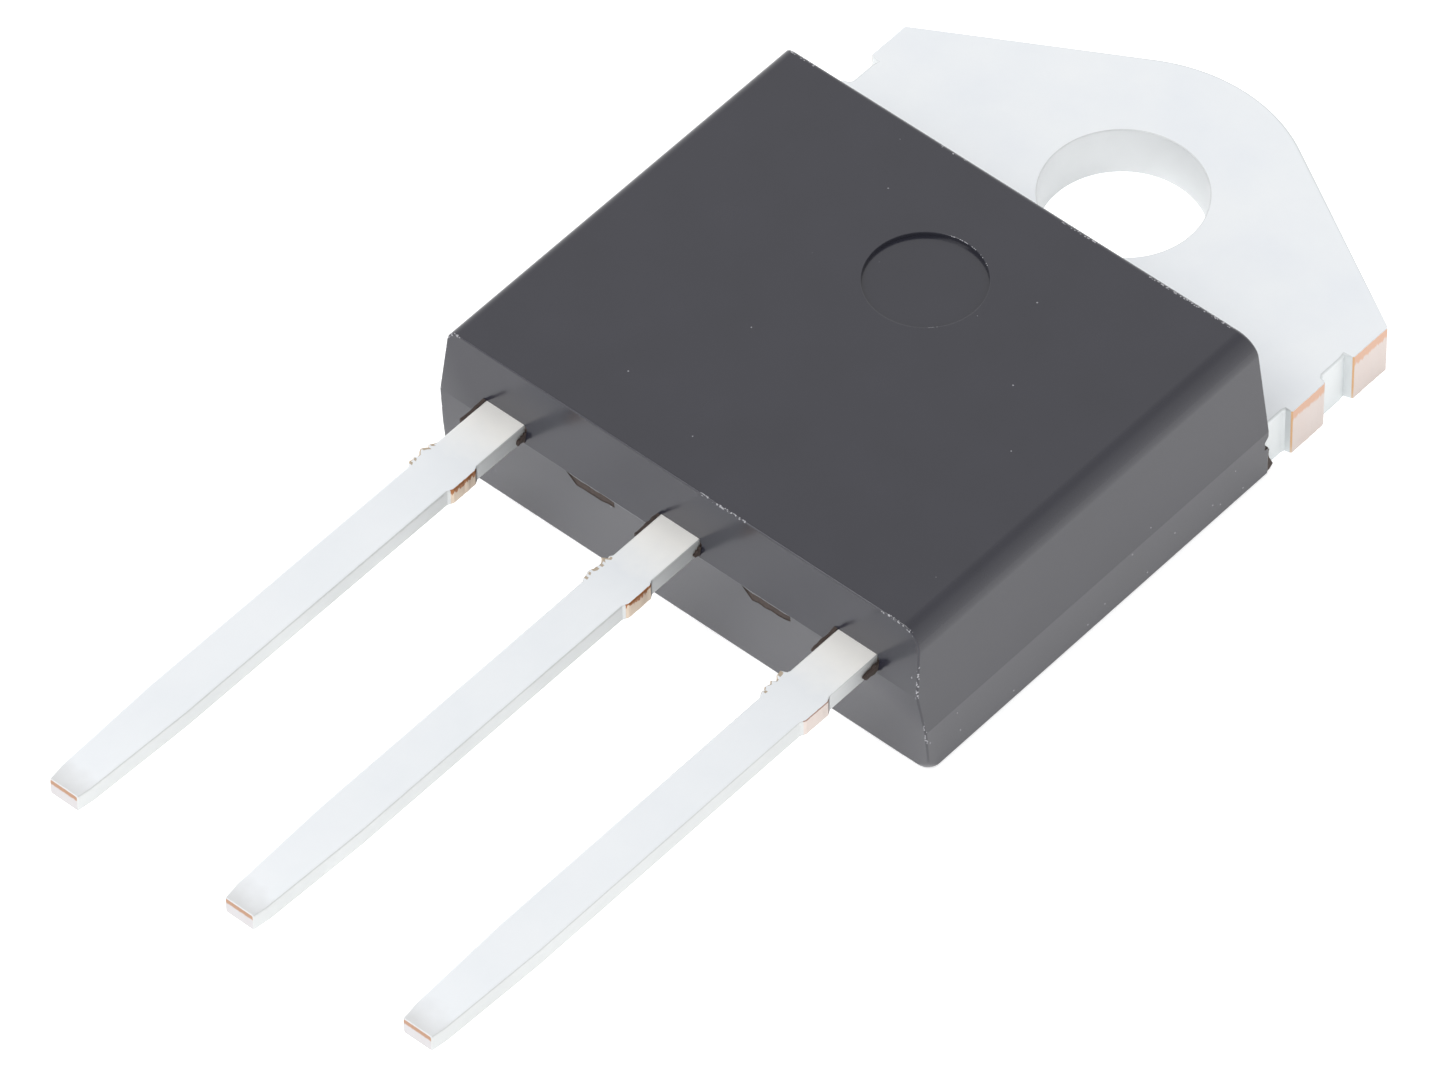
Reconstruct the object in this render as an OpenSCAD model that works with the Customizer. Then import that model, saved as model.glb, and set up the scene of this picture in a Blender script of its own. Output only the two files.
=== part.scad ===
// Triac in a flat three-lead power package with an isolated metal tab.
// Origin: centre of the tab hole on the back face. +Y to the rounded tab end, the leads run
// to -Y, +Z comes out of the moulded front face.

/* [Heatsink tab] */
// Width across the sheared tie-bar stubs
tab_width = 15.1; // [14.9:0.1:15.6]
// Thickness of the tab plate
tab_thickness = 1.5; // [1.2:0.05:1.8]
// Diameter of the screw hole
hole_diameter = 4.16; // [3.4:0.02:4.6]
// Radius of the rounded end, about the hole
end_radius = 4.5; // [4.1:0.1:5.2]
// Distance of the square shoulders past the hole centre
shoulder_reach = 0.77; // [0.4:0.05:1.2]
// Length of each sheared stub along the side
stub_length = 1.27; // [0.9:0.05:1.4]
// Gap between the two stubs of a side
stub_gap = 1.02; // [0.7:0.05:1.2]
// How far a stub stands out from the side of the plate
stub_proud = 0.21; // [0.1:0.01:0.3]
// Moulding beside each long edge of the plate
side_cover = 0.95; // [0.75:0.05:1.2]
// How far the full width of the plate runs on into the moulding
neck_cover = 0.35; // [0.2:0.05:0.5]
// Moulding between the foot of the plate and the lead end
foot_cover = 1.9; // [1.6:0.05:2.1]
// Width of the ledge that keys the plate into the moulding
ledge_width = 0.4; // [0.2:0.05:0.6]
// Height of the moulding under that ledge
ledge_height = 0.5; // [0.3:0.05:0.8]
// Depth of the locking groove across the plate
groove_depth = 0.3; // [0.15:0.05:0.5]
// Width of the locking groove
groove_width = 0.6; // [0.4:0.05:0.9]

/* [Moulded case] */
// How far each side of the moulding stays inside the stubs
case_inset = 0.03; // [0.01:0.01:0.1]
// Thickness of the whole package
case_thickness = 4.5; // [4.3:0.05:5]
// Hole centre to the lead end of the moulding
lead_end_reach = 16.2; // [15.8:0.1:16.6]
// Hole centre to the tab end of the moulding
tab_end_reach = 3.6; // [3.4:0.05:3.8]
// Draft of the long sides above the tab, degrees
side_draft = 7.4; // [3:0.1:10]
// Draft of the lead end above the leads, degrees
upper_end_draft = 11.3; // [5:0.1:14]
// Draft of the lead end below the leads, degrees
lower_end_draft = 5.6; // [3:0.1:8]
// Draft of the tab end above the tab, degrees
tab_end_draft = 2.9; // [1:0.1:5]
// Radius of the two long top edges
edge_radius = 0.63; // [0.3:0.01:0.8]
// Diameter of the ejector pin mark
pin_mark_diameter = 3.04; // [2:0.02:3.6]
// Depth of the ejector pin mark
pin_mark_depth = 0.12; // [0.05:0.01:0.2]
// Distance of the ejector pin mark from the hole centre
pin_mark_reach = 7.32; // [6:0.02:9]
// Width of the vent slots on the parting line
vent_width = 1.45; // [1:0.05:1.8]
// Height of the vent slots
vent_height = 0.25; // [0.15:0.01:0.35]
// Depth of the vent slots
vent_depth = 0.12; // [0.06:0.01:0.2]

/* [Leads] */
// Centre distance of neighbouring leads
lead_pitch = 5.45; // [5.4:0.01:5.6]
// Width of a lead
lead_width = 1.22; // [1.1:0.01:1.35]
// Thickness of the lead frame
lead_thickness = 0.5; // [0.4:0.02:0.6]
// Height of the underside of the leads above the back face
lead_height = 2.75; // [2.7:0.01:2.9]
// Length of the leads outside the moulding
lead_length = 15.15; // [12:0.05:18]
// Distance of the cut tie bars from the moulding
dambar_distance = 1.58; // [1:0.02:2.4]
// Length of the cut tie bars along the lead
dambar_length = 1.05; // [0.8:0.01:1.4]
// How far a cut tie bar stands out from the lead
dambar_proud = 0.08; // [0.04:0.01:0.14]
// Width of a lead at its tip
tip_width = 0.89; // [0.7:0.01:1]
// Length of the taper to the tip
tip_taper = 3.5; // [2:0.1:5]
// Length of the bevel on top of the tip
tip_bevel = 0.42; // [0.2:0.01:0.6]
// Drop of that bevel
tip_drop = 0.14; // [0.05:0.01:0.2]

/* [Inner stack] */
// Thickness of the solder layers of the stack
solder_thickness = 0.08; // [0.04:0.01:0.12]
// Thickness of the insulating ceramic
ceramic_thickness = 0.63; // [0.4:0.01:0.64]
// Width of the ceramic
ceramic_width = 11.2; // [10.4:0.1:12]
// Length of the ceramic
ceramic_length = 8.6; // [8.2:0.1:9]
// Width of the die pad
pad_width = 9.2; // [8.4:0.1:9.8]
// Length of the die pad
pad_length = 7.2; // [7:0.1:7.6]
// Run of the step of the middle lead, from the leads down to the pad
step_run = 0.46; // [0.4:0.02:0.6]
// Flat stretch between that step and the pad
step_margin = 0.1; // [0.05:0.01:0.15]
// Edge of the square silicon die
die_size = 6.2; // [5.6:0.1:6.4]
// Thickness of the silicon die
die_thickness = 0.27; // [0.2:0.01:0.32]
// Strip of bare ceramic around the solder below it
solder_margin = 0.22; // [0.1:0.02:0.3]
// Distance of the passivated groove from the edge of the die
moat_margin = 0.15; // [0.1:0.01:0.2]
// Width of that groove
moat_width = 0.3; // [0.2:0.01:0.35]
// Depth of that groove
moat_depth = 0.08; // [0.04:0.01:0.12]

/* [Contact clips] */
// Thickness of the copper clips
clip_thickness = 0.3; // [0.2:0.02:0.4]
// Width of the main clip over its lead
main_clip_width = 2; // [1.4:0.1:2.2]
// Width of the gate clip
gate_clip_width = 0.9; // [0.6:0.05:1]
// Length of each lead head inside the moulding
head_length = 1.7; // [1.5:0.05:1.8]
// Width of each lead head inside the moulding
head_width = 3; // [2.8:0.1:3.4]
// Cover of moulding between a lead head and the lead end
head_cover = 0.9; // [0.7:0.05:1.1]
// Gap between a contact of the die and the edge of the die
contact_margin = 0.7; // [0.5:0.05:0.8]
// Edge of the square gate contact
gate_contact = 1.1; // [1:0.05:1.3]

/* [Hidden] */
$fn = 96;
over = 1;
hole_r = hole_diameter / 2;
stub_x = tab_width / 2;
side_x = stub_x - stub_proud;
stubs_end = shoulder_reach - 2 * stub_length - stub_gap;
inner_x = stub_x - side_cover;
case_x = stub_x - case_inset;
// the plate narrows where the moulding has begun to cover it
neck_y = -tab_end_reach - neck_cover;
foot_y = -lead_end_reach + foot_cover;
// the locking groove follows the neck
groove_y = neck_y - neck_cover;

lead_top = lead_height + lead_thickness;
tip_y = -lead_end_reach - lead_length;
upper_height = case_thickness - lead_height;
wall_height = case_thickness - tab_thickness;

// heights of the stack, from the tab upwards
ceramic_z = tab_thickness + solder_thickness;
pad_solder_z = ceramic_z + ceramic_thickness;
pad_z = pad_solder_z + solder_thickness;
die_solder_z = pad_z + lead_thickness;
die_z = die_solder_z + solder_thickness;
contact_z = die_z + die_thickness;
clip_z = contact_z + solder_thickness;
clip_end_z = lead_top + solder_thickness;

// lead heads
head_front = -lead_end_reach + head_cover;
head_back = head_front + head_length;
head_inner_x = lead_pitch + lead_width / 2 - head_width;

// the die pad starts past the step of the middle lead, and the stack is centred on it
step_y = head_back + step_run;
pad_front = step_y + step_margin;
stack_y = pad_front + pad_length / 2;
die_half = die_size / 2;
die_front = stack_y - die_half;

// gate contact in the corner of the die that faces the gate lead
gate_x = die_half - contact_margin - gate_contact / 2;
gate_y = die_front + contact_margin + gate_contact / 2;
// main contact: the rest of the die face, clear of the gate contact
main_left = -die_half + contact_margin;
main_right = gate_x - gate_contact / 2 - contact_margin;
main_back = stack_y + die_half - contact_margin;
main_front = die_front + contact_margin;
joint_y = (head_front + head_back) / 2;

function mirrored(points) =
    concat(points, [for (i = [len(points) - 1:-1:0]) [-points[i][0], points[i][1]]]);

// a flat layer of the stack: width, length, centre and height of its underside
module layer(w, l, y, z, t) {
    translate([-w / 2, y - l / 2, z]) cube([w, l, t]);
}

// a profile drawn in Y and Z, extruded across X between two limits
module across(x0, x1) {
    translate([x1, 0, 0]) rotate([0, -90, 0]) linear_extrude(x1 - x0)
        mirror([1, -1]) children();
}

// ---------------------------------------------------------------- tab

// Outline: pentagon with a round end about the hole, sides sheared off at two tie bars
module tab_outline() {
    corner = [stub_x, shoulder_reach];
    turn = atan2(corner[1], corner[0]) + acos(end_radius / norm(corner));
    touch = end_radius * [cos(turn), sin(turn)];
    first_end = shoulder_reach - stub_length;
    second_start = first_end - stub_gap;
    polygon(mirrored([
        touch, corner, [stub_x, first_end], [side_x, first_end], [side_x, second_start],
        [stub_x, second_start], [stub_x, stubs_end], [side_x, stubs_end], [side_x, neck_y]
    ]));
    circle(end_radius);
}

// Part of the plate inside the moulding, from a given height up to its top face
module inner_plate(half_width, foot, low) {
    translate([-half_width, foot, low])
        cube([2 * half_width, -tab_end_reach - foot, tab_thickness - low]);
}

module heatsink_tab() color([0.88, 0.89, 0.91]) difference() {
    union() {
        linear_extrude(tab_thickness) tab_outline();
        inner_plate(inner_x, foot_y, ledge_height);
        inner_plate(inner_x - ledge_width, foot_y + ledge_width, 0);
    }
    translate([0, 0, -over]) cylinder(h = tab_thickness + 2 * over, r = hole_r);
    translate([0, groove_y, tab_thickness]) across(-case_x, case_x)
        polygon([[-groove_width / 2, 0], [0, -groove_depth], [groove_width / 2, 0], [0, over]]);
}

// ---------------------------------------------------------------- case

// Cross-section: straight up to the tab's top, drafted above it, long top edges rounded
module case_section() {
    r = edge_radius;
    centre_z = case_thickness - r;
    lean = tan(side_draft);
    centre_x = case_x - lean * (centre_z - tab_thickness) - r / cos(side_draft);
    polygon(mirrored([
        [case_x, 0], [case_x, tab_thickness],
        [centre_x + r * cos(side_draft), centre_z + r * sin(side_draft)],
        [centre_x, case_thickness]
    ]));
    for (s = [-1, 1]) translate([s * centre_x, centre_z]) circle(r);
}

// Side view: both ends drafted, the lead end in two steps that meet at the parting line
module case_side() {
    polygon([
        [-lead_end_reach + lead_height * tan(lower_end_draft), 0],
        [-lead_end_reach, lead_height],
        [-lead_end_reach + upper_height * tan(upper_end_draft), case_thickness],
        [-tab_end_reach - wall_height * tan(tab_end_draft), case_thickness],
        [-tab_end_reach, tab_thickness],
        [-tab_end_reach, 0]
    ]);
}

module case_body() {
    intersection() {
        translate([0, -tab_end_reach + over, 0]) rotate([90, 0, 0])
            linear_extrude(lead_end_reach - tab_end_reach + 2 * over) case_section();
        across(-case_x - over, case_x + over) case_side();
    }
}

module vent_slots() {
    for (x = [-1, 1] * lead_pitch / 2)
        translate([x - vent_width / 2, -lead_end_reach - over, lead_height - vent_height])
            cube([vent_width, over + vent_depth, vent_height]);
}

module case() color([0.2, 0.2, 0.22]) difference() {
    case_body();
    translate([0, -pin_mark_reach, case_thickness - pin_mark_depth])
        cylinder(h = pin_mark_depth + over, r = pin_mark_diameter / 2);
    vent_slots();
    heatsink_tab();
    substrate_solder();
    ceramic_insulator();
    pad_solder();
    lead_a2();
    die_solder();
    triac_die();
    a1_solder();
    a1_clip();
    a1_lead_solder();
    lead_a1();
    gate_solder();
    gate_clip();
    gate_lead_solder();
    lead_gate();
}

// ---------------------------------------------------------------- leads

// Outside part of a lead, seen from above, up to a given depth inside the moulding
module lead_outline(inside_y) {
    near = -lead_end_reach - dambar_distance;
    far = near - dambar_length;
    w = lead_width / 2;
    stub = w + dambar_proud;
    taper_y = tip_y + tip_taper;
    polygon(mirrored([
        [w, inside_y], [w, near], [stub, near], [stub, far], [w, far],
        [w, taper_y], [tip_width / 2, tip_y]
    ]));
}

// A lead up to a depth inside the moulding: its outline, its bevelled tip, and the inner end
// of its side view, given as points from the underside round to the top
module lead(inside_y, inner_points) {
    side_view = concat(
        [[tip_y, lead_height]], inner_points,
        [[tip_y + tip_bevel, lead_top], [tip_y, lead_top - tip_drop]]
    );
    intersection() {
        linear_extrude(lead_top + over) lead_outline(inside_y);
        across(-lead_width, lead_width) polygon(side_view);
    }
}

// Lead with a widened head that reaches towards the middle of the package
module side_lead(side) {
    translate([side * lead_pitch, 0, 0])
        lead(head_back, [[head_back, lead_height], [head_back, lead_top]]);
    mirror([side < 0 ? 1 : 0, 0, 0])
        translate([head_inner_x, head_front, lead_height])
            cube([head_width, head_length, lead_thickness]);
}

module lead_a1() color([0.86, 0.87, 0.89]) side_lead(-1);
module lead_gate() color([0.86, 0.87, 0.89]) side_lead(1);

// Middle lead: steps down inside the moulding to the die pad on the ceramic
module lead_a2() color([0.86, 0.87, 0.89]) {
    root_y = pad_front + lead_width;
    pad_top = pad_z + lead_thickness;
    lead(root_y, [
        [head_back, lead_height], [step_y, pad_z], [root_y, pad_z],
        [root_y, pad_top], [step_y, pad_top], [head_back, lead_top]
    ]);
    layer(pad_width, pad_length, stack_y, pad_z, lead_thickness);
}

// ---------------------------------------------------------------- stack

module substrate_solder() color([0.72, 0.73, 0.75])
    layer(ceramic_width - 2 * solder_margin, ceramic_length - 2 * solder_margin, stack_y,
        tab_thickness, solder_thickness);

module ceramic_insulator() color([0.93, 0.92, 0.88])
    layer(ceramic_width, ceramic_length, stack_y, ceramic_z, ceramic_thickness);

module pad_solder() color([0.72, 0.73, 0.75])
    layer(pad_width, pad_length, stack_y, pad_solder_z, solder_thickness);

module die_solder() color([0.72, 0.73, 0.75])
    layer(die_size, die_size, stack_y, die_solder_z, solder_thickness);

// The die, with the groove that ends its junctions cut all round the top
module triac_die() color([0.35, 0.36, 0.42]) difference() {
    outside = die_size - 2 * moat_margin;
    inside = outside - 2 * moat_width;
    layer(die_size, die_size, stack_y, die_z, die_thickness);
    difference() {
        layer(outside, outside, stack_y, contact_z - moat_depth, moat_depth + over);
        layer(inside, inside, stack_y, contact_z - moat_depth - over, moat_depth + 3 * over);
    }
}

// ---------------------------------------------------------------- clips

module block(x0, x1, y0, y1, z, t) {
    translate([x0, y0, z]) cube([x1 - x0, y1 - y0, t]);
}

// Side view of a clip: flat on the die, one step, flat on the lead head
module clip_side(back) {
    polygon([
        [back, clip_z], [pad_front, clip_z], [head_back, clip_end_z], [head_front, clip_end_z],
        [head_front, clip_end_z + clip_thickness], [head_back, clip_end_z + clip_thickness],
        [pad_front, clip_z + clip_thickness], [back, clip_z + clip_thickness]
    ]);
}

module clip(back) {
    intersection() {
        linear_extrude(case_thickness) children();
        across(-case_x, case_x) clip_side(back);
    }
}

module a1_solder() color([0.72, 0.73, 0.75])
    block(main_left, main_right, main_front, main_back, contact_z, solder_thickness);

module a1_clip() color([0.83, 0.5, 0.35]) clip(main_back) polygon([
    [main_left, main_back], [main_right, main_back], [main_right, main_front],
    [-head_inner_x, joint_y], [-head_inner_x, head_front],
    [-head_inner_x - main_clip_width, head_front], [-head_inner_x - main_clip_width, joint_y],
    [main_left, main_front + main_clip_width]
]);

module a1_lead_solder() color([0.72, 0.73, 0.75])
    block(-head_inner_x - main_clip_width, -head_inner_x, head_front, joint_y,
        lead_top, solder_thickness);

module gate_solder() color([0.72, 0.73, 0.75])
    block(gate_x - gate_contact / 2, gate_x + gate_contact / 2,
        gate_y - gate_contact / 2, gate_y + gate_contact / 2, contact_z, solder_thickness);

module gate_clip() color([0.83, 0.5, 0.35]) clip(gate_y + gate_contact / 2) polygon([
    [gate_x - gate_clip_width / 2, gate_y + gate_contact / 2],
    [gate_x + gate_clip_width / 2, gate_y + gate_contact / 2],
    [gate_x + gate_clip_width / 2, gate_y],
    [head_inner_x + gate_clip_width, joint_y], [head_inner_x + gate_clip_width, head_front],
    [head_inner_x, head_front], [head_inner_x, joint_y],
    [gate_x - gate_clip_width / 2, gate_y]
]);

module gate_lead_solder() color([0.72, 0.73, 0.75])
    block(head_inner_x, head_inner_x + gate_clip_width, head_front, joint_y,
        lead_top, solder_thickness);

case();
heatsink_tab();
substrate_solder();
ceramic_insulator();
pad_solder();
lead_a2();
die_solder();
triac_die();
a1_solder();
a1_clip();
a1_lead_solder();
lead_a1();
gate_solder();
gate_clip();
gate_lead_solder();
lead_gate();
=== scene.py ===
import math
import random

import bmesh
import bpy
from mathutils import Matrix, Vector


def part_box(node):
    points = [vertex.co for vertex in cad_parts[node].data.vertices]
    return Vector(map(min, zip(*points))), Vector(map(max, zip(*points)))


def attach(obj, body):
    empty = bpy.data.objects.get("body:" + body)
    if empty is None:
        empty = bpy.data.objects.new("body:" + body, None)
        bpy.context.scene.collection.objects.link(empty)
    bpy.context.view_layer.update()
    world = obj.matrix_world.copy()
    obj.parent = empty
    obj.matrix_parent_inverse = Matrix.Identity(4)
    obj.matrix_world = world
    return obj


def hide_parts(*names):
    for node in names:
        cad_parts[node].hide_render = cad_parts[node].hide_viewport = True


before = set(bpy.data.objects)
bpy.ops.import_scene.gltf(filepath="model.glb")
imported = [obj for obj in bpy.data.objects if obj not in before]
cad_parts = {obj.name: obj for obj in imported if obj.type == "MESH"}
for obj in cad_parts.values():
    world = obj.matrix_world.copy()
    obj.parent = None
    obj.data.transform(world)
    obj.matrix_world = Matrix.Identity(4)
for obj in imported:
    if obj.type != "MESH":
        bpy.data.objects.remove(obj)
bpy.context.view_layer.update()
scene = bpy.context.scene
mm = 0.001  # pieces are drawn in millimetres and scaled to metres when they are finished
cutPast = 1  # mm that a cutter runs on past the piece
# points closer than this are one, in mm: in drawn pieces, copied CAD nodes and carved pieces
weld = {"drawn": 1e-5, "copied": 1e-4, "carved": 0.001}
nearly = 1e-6  # mm, for comparing heights
print("frame loaded:", len(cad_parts), "nodes")


def nodeBox(name):
    low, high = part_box(name)
    return low / mm, high / mm


caseLow, caseHigh = nodeBox("case")
tabLow, tabHigh = nodeBox("heatsink_tab")
leadLow, leadHigh = nodeBox("lead_a1")

camera = {
    "azimuth": 41.50, "elevation": 48.58, "roll": -0.55,  # degrees
    "lookAt": (0.249, -14.985, 2.0), "distance": 334.4,  # mm
    "lens": 357.35, "sensor": 36.0,  # mm
    "clipStart": 0.01, "clipEnd": 10,  # metres
}
studio = {
    # brightness of the room by height above the horizon: 0 level, 1 straight up, where the camera hood is
    "room": [(0.0, 1.3), (0.35, 1.12), (0.75, 0.87), (0.86, 0.62), (1.0, 0.5)],
    "roomStrength": 1.3,
    "floorColour": "#e6e6e6", "floorGlow": 0.72, "floorRoughness": 0.9,
    "floorSize": 1500, "floorDrop": 0.01,  # mm
    "lampPlace": (-70, -170, 320), "lampSize": 200,  # mm
    "lampWatts": 0.5,
}


# sRGB hex to linear, by the standard curve
def linear(hexColour):
    parts = [int(hexColour[i:i + 2], 16) / 255 for i in (1, 3, 5)]
    return [p / 12.92 if p <= 0.04045 else ((p + 0.055) / 1.055) ** 2.4 for p in parts] + [1]


# a setting is an input, by its identifier, or a property; a link comes from a socket, or from a node, which
# then stands for its first output in use
def setNode(tree, node, settings=None, links=None):
    inputs = {socket.identifier: socket for socket in node.inputs}
    for name, value in (settings or {}).items():
        if name in inputs:
            inputs[name].default_value = value
        else:
            setattr(node, name, value)
    for name, source in (links or {}).items():
        if isinstance(source, bpy.types.Node):
            source = next(socket for socket in source.outputs if socket.enabled)
        tree.links.new(source, inputs[name])
    return node


def addNode(tree, kind, settings=None, links=None):
    return setNode(tree, tree.nodes.new("ShaderNode" + kind), settings, links)


def addCamera():
    az, el, roll = (math.radians(camera[k]) for k in ("azimuth", "elevation", "roll"))
    back = Vector((math.sin(az) * math.cos(el), -math.cos(az) * math.cos(el), math.sin(el)))
    right = Vector((math.cos(az), math.sin(az), 0))
    up = back.cross(right)
    right, up = (right * math.cos(roll) + up * math.sin(roll),
                 up * math.cos(roll) - right * math.sin(roll))
    data = bpy.data.cameras.new("camera")
    data.lens, data.sensor_width, data.sensor_fit = camera["lens"], camera["sensor"], "HORIZONTAL"
    data.clip_start, data.clip_end = camera["clipStart"], camera["clipEnd"]
    cam = bpy.data.objects.new("camera", data)
    turn = Matrix((right, up, back)).transposed().to_4x4()
    place = (Vector(camera["lookAt"]) + back * camera["distance"]) * mm
    cam.matrix_world = Matrix.Translation(place) @ turn
    scene.collection.objects.link(cam)
    scene.camera = cam


def addWorld():
    world = bpy.data.worlds.new("softRoom")
    world.use_nodes = True
    tree = world.node_tree
    strength = studio["roomStrength"]
    coords = addNode(tree, "TexCoord")
    split = addNode(tree, "SeparateXYZ", {}, {"Vector": coords.outputs["Generated"]})
    ramp = addNode(tree, "ValToRGB", {}, {"Fac": split.outputs["Z"]})
    stops = ramp.color_ramp.elements
    while len(stops) < len(studio["room"]):
        stops.new(1.0)
    for stop, (height, level) in zip(stops, studio["room"]):
        stop.position = height
        stop.color = [level / strength] * 3 + [1]
    setNode(tree, tree.nodes["Background"], {"Strength": strength}, {"Color": ramp})
    scene.world = world
    scene.view_settings.view_transform = "Standard"


def addLamp():
    data = bpy.data.lights.new("softboxAbove", "AREA")
    data.shape, data.size, data.energy = "SQUARE", studio["lampSize"] * mm, studio["lampWatts"]
    lamp = bpy.data.objects.new("softboxAbove", data)
    place = Vector(studio["lampPlace"])
    aim = (Vector(camera["lookAt"]) - place).to_track_quat("-Z", "Y")
    lamp.matrix_world = Matrix.Translation(place * mm) @ aim.to_matrix().to_4x4()
    scene.collection.objects.link(lamp)


def addFloor():
    # opal acrylic of a light table: pale, and its own glow keeps the shadows faint
    material = bpy.data.materials.new("lightTableOpal")
    material.use_nodes = True
    tree, colour = material.node_tree, linear(studio["floorColour"])
    setNode(tree, tree.nodes["Principled BSDF"], {
        "Base Color": colour, "Roughness": studio["floorRoughness"],
        "Emission Color": colour, "Emission Strength": studio["floorGlow"]})
    half = studio["floorSize"] / 2
    bm = bmesh.new()
    corners = ((-half, -half), (half, -half), (half, half), (-half, half))
    bm.faces.new([bm.verts.new((x, y, -studio["floorDrop"])) for x, y in corners])
    finishPiece("floor", bm, [material])


# points along an arc, angles in degrees
def arcPoints(centre, radius, start, end, steps):
    turns = [math.radians(start + (end - start) * i / steps) for i in range(steps + 1)]
    return [(centre[0] + radius * math.cos(t), centre[1] + radius * math.sin(t)) for t in turns]


# each point of an anticlockwise outline moved inwards by its own depth
def insetPoints(points, depths):
    sharpest = 0.35  # a corner sharper than this isn't mitred to its full length
    moved = []
    count = len(points)
    for i in range(count):
        before, here, after = (Vector(points[(i + k) % count]) for k in (-1, 0, 1))
        first, second = (here - before).normalized(), (after - here).normalized()
        inward = Vector((-first.y, first.x)) + Vector((-second.y, second.x))
        inward /= max(sharpest, 1 + first.dot(second))
        moved.append(tuple(here + inward * depths[i]))
    return moved


def addRing(bm, points):
    return [bm.verts.new(p) for p in points]


def joinRings(bm, rings, pickSlot=None):
    for a, b in zip(rings, rings[1:]):
        for i in range(len(a)):
            j = (i + 1) % len(a)
            face = bm.faces.new((a[i], a[j], b[j], b[i]))
            if pickSlot:
                face.material_index = pickSlot(face)


# a closed solid turned about a vertical axis; profile is radius and height, from axis to axis
def revolve(bm, profile, centre, steps):
    low = bm.verts.new((centre[0], centre[1], profile[0][1]))
    high = bm.verts.new((centre[0], centre[1], profile[-1][1]))
    rings = []
    for radius, height in profile[1:-1]:
        circle = arcPoints(centre, radius, 0, 360 * (steps - 1) / steps, steps - 1)
        rings.append(addRing(bm, [(x, y, height) for x, y in circle]))
    joinRings(bm, rings)
    for i in range(steps):
        j = (i + 1) % steps
        bm.faces.new((low, rings[0][j], rings[0][i]))
        bm.faces.new((high, rings[-1][i], rings[-1][j]))


# a flat outline pulled along an axis: 0 for X, 1 for Y, 2 for Z
def addPrism(bm, points, axis, low, high):
    def place(point, depth):
        return tuple(point[:axis]) + (depth,) + tuple(point[axis:])
    rings = [addRing(bm, [place(p, depth) for p in points]) for depth in (low, high)]
    joinRings(bm, rings)
    bm.faces.new(rings[0])
    bm.faces.new(rings[1])


def looseObject(name, bm, materials=()):
    bmesh.ops.remove_doubles(bm, verts=bm.verts, dist=weld["drawn"])
    bmesh.ops.recalc_face_normals(bm, faces=bm.faces)
    bmesh.ops.scale(bm, vec=(mm, mm, mm), verts=bm.verts)
    mesh = bpy.data.meshes.new(name)
    bm.to_mesh(mesh)
    bm.free()
    for material in materials:
        mesh.materials.append(material)
    return bpy.data.objects.new(name, mesh)


def loosePrism(name, points, axis, low, high, material):
    bm = bmesh.new()
    addPrism(bm, points, axis, low, high)
    return looseObject(name, bm, [material])


# a welded copy of a CAD node, to cut its seat in another piece
def nodeCopy(name, material):
    flat = 0.001  # radians; faces that turn less than this are joined
    bm = bmesh.new()
    bm.from_mesh(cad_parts[name].data)
    for face in bm.faces:
        face.material_index = 0
    bmesh.ops.scale(bm, vec=(1 / mm, 1 / mm, 1 / mm), verts=bm.verts)
    bmesh.ops.remove_doubles(bm, verts=bm.verts, dist=weld["copied"])
    bmesh.ops.dissolve_limit(bm, angle_limit=flat, verts=bm.verts, edges=bm.edges)
    return looseObject(name + "Seat", bm, [material])


# solid difference or union with a list of objects, which are then gone
def carve(piece, operation, cutters):
    group = bpy.data.collections.new("cutters")
    for cutter in cutters:
        group.objects.link(cutter)
    scene.collection.children.link(group)
    if piece.name not in scene.collection.objects:
        scene.collection.objects.link(piece)
    step = piece.modifiers.new("carve", "BOOLEAN")
    step.operation, step.operand_type, step.solver = operation, "COLLECTION", "EXACT"
    step.collection, step.use_self, step.material_mode = group, True, "TRANSFER"
    graph = bpy.context.evaluated_depsgraph_get()
    carved = bpy.data.meshes.new_from_object(piece.evaluated_get(graph))
    piece.modifiers.remove(step)
    # slivers thinner than a micrometre are welded shut
    bm = bmesh.new()
    bm.from_mesh(carved)
    bmesh.ops.remove_doubles(bm, verts=bm.verts, dist=weld["carved"] * mm)
    bm.to_mesh(carved)
    bm.free()
    piece.data = carved
    for cutter in cutters:
        bpy.data.objects.remove(cutter)
    bpy.data.collections.remove(group)


def finishPiece(name, source, materials=(), replaces=None, smoothAngle=14):
    piece = source if isinstance(source, bpy.types.Object) else looseObject(name, source, materials)
    piece.name = piece.data.name = name
    if piece.name not in scene.collection.objects:
        scene.collection.objects.link(piece)
    piece.data.polygons.foreach_set("use_smooth", [True] * len(piece.data.polygons))
    piece.data.set_sharp_from_angle(angle=math.radians(smoothAngle))
    if replaces:
        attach(piece, "root")
        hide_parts(replaces)
    return piece


def newMaterial(name):
    material = bpy.data.materials.new(name)
    material.use_nodes = True
    tree = material.node_tree
    coords = addNode(tree, "TexCoord").outputs["Object"]
    return material, tree, tree.nodes["Principled BSDF"], coords


# pattern scale for a repeat of that size
def perMetre(sizeInMm):
    return 1000 / sizeInMm


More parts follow.
